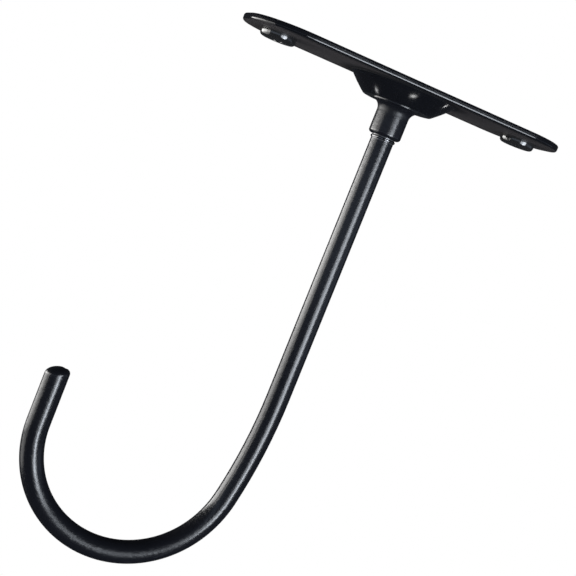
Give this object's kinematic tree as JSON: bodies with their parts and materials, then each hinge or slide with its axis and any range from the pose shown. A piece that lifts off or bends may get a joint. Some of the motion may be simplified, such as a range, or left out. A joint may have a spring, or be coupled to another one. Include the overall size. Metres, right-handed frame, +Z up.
{
  "type": "ceiling hook",
  "caption": "Swivel ceiling hook: a pressed plate with a hollow boss and collar, screwed up to a ceiling, and a J-shaped rod that turns in the collar to hang a planter.",
  "frame": {"origin": "point where the swivel axis meets the ceiling plane, level with the plate's upper face", "axes": "+Z up into the ceiling along the swivel axis, X along the plate's long side with the hook opening towards -X, Y across the plate"},
  "size_m": [0.1095, 0.032, 0.179],
  "materials": {
    "black_paint": "semi-gloss black powder coat on steel, with a fine orange-peel surface",
    "zinc_plate": "bright zinc plating",
    "black_screw_finish": "glossy black coated screw steel"
  },
  "bodies": {
    "ceiling_fitting": {"mounting_plate": "black_paint", "swivel_collar": "black_paint", "thrust_washer": "zinc_plate", "mounting_screw_left": "black_screw_finish", "mounting_screw_right": "black_screw_finish"},
    "hook": {"hook_rod": "black_paint"}
  },
  "joints": [
    {"name": "hook_swivel", "type": "hinge", "parent": "ceiling_fitting", "child": "hook", "pos_m": [0, 0, -0.011], "axis": [0, 0, 1], "continuous": true}
  ]
}
